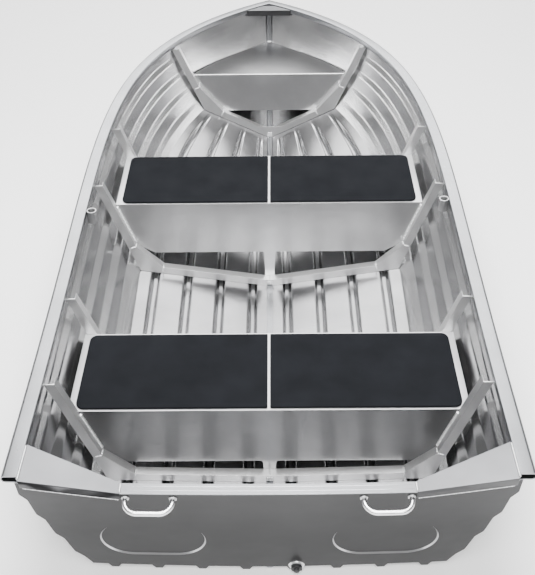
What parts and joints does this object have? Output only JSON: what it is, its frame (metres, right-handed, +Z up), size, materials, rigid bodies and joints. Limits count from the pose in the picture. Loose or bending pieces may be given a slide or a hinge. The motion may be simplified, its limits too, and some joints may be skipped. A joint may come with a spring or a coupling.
{
  "type": "aluminium dinghy",
  "caption": "Small open dinghy of pressed aluminium sheet with a raked transom, welded frames, padded thwarts, a bow deck, rowlock sockets and stern handles; it floats and carries people.",
  "frame": {"origin": "on the ground under the middle of the boat's bounding box", "axes": "+Y forward to the bow, +X to starboard, +Z up"},
  "size_m": [1.278, 2.756, 0.5469],
  "materials": {
    "hull_sheet": "satin mill finish pressed sheet",
    "transom_plate": "satin mill finish plate",
    "folded_sheet": "satin folded sheet with weld marks",
    "extrusion": "bright extruded section and bent rod",
    "seat_pad": "matt black closed-cell foam",
    "drain_plug": "black moulded plug"
  },
  "bodies": {
    "root": {"bottom_port": "hull_sheet", "bottom_starboard": "hull_sheet", "side_port": "hull_sheet", "side_starboard": "hull_sheet", "keel_bar": "extrusion", "keel_strip": "extrusion", "transom": "transom_plate", "transom_cap": "extrusion", "corner_plate_port": "folded_sheet", "corner_plate_starboard": "folded_sheet", "handle_port": "extrusion", "handle_starboard": "extrusion", "drain_socket": "extrusion", "drain_plug": "drain_plug", "gunwale_port": "extrusion", "gunwale_starboard": "extrusion", "breasthook": "folded_sheet", "stern_frame_side_port": "folded_sheet", "stern_frame_side_starboard": "folded_sheet", "stern_frame_knees": "folded_sheet", "stern_frame_floor": "folded_sheet", "mid_frame_side_port": "folded_sheet", "mid_frame_side_starboard": "folded_sheet", "mid_frame_knees": "folded_sheet", "mid_frame_floor": "folded_sheet", "bow_frame_side_port": "folded_sheet", "bow_frame_side_starboard": "folded_sheet", "bow_frame_knees": "folded_sheet", "bow_frame_floor": "folded_sheet", "stern_thwart": "folded_sheet", "mid_thwart": "folded_sheet", "bow_deck": "folded_sheet", "stern_pad_port": "seat_pad", "stern_pad_starboard": "seat_pad", "mid_pad_port": "seat_pad", "mid_pad_starboard": "seat_pad", "stern_strut_port": "folded_sheet", "stern_strut_starboard": "folded_sheet", "mid_strut_port": "folded_sheet", "mid_strut_starboard": "folded_sheet", "rowlock_port": "extrusion", "rowlock_starboard": "extrusion"}
  },
  "joints": []
}
